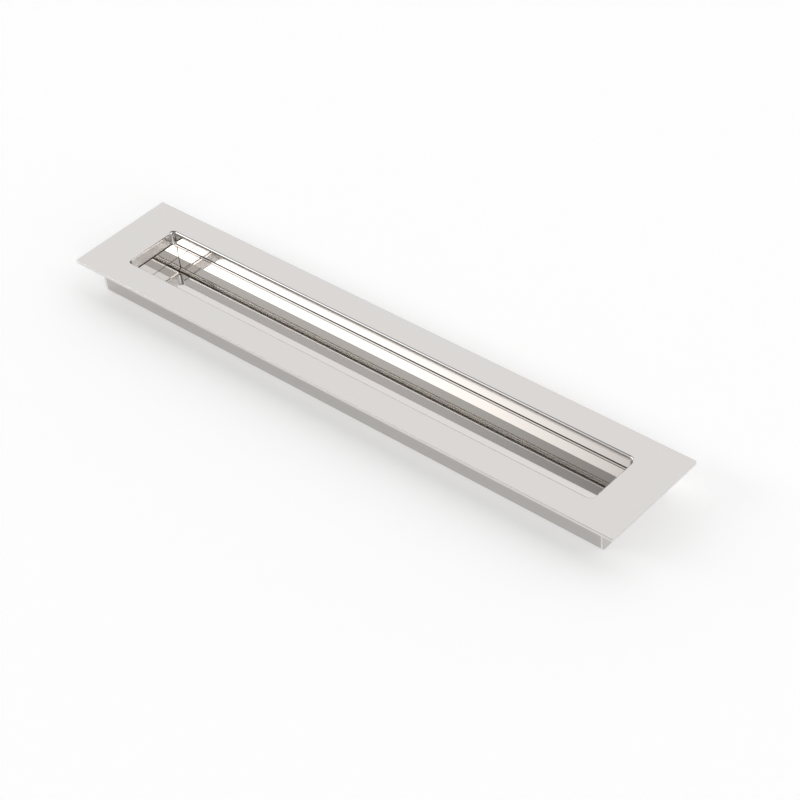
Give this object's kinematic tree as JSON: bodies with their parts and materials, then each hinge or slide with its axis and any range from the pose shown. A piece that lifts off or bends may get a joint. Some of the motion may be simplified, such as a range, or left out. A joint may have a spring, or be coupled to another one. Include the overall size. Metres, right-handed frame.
{
  "type": "recessed pull handle",
  "caption": "Long flush pull for a sliding door or drawer: thin polished face plate, lipped finger window and a shallow closed channel behind it.",
  "frame": {"origin": "middle of the channel's flat underside", "axes": "+X along the handle, +Y across it, +Z out of the door towards the hand; the two ends and the two sides are alike"},
  "size_m": [0.22, 0.04, 0.012],
  "materials": {
    "face_plate": "polished plate",
    "channel": "polished plate",
    "end_plates": "polished plate"
  },
  "bodies": {
    "root": {"face_plate": "face_plate", "channel": "channel", "end_plate_left": "end_plates", "end_plate_right": "end_plates"}
  },
  "joints": []
}
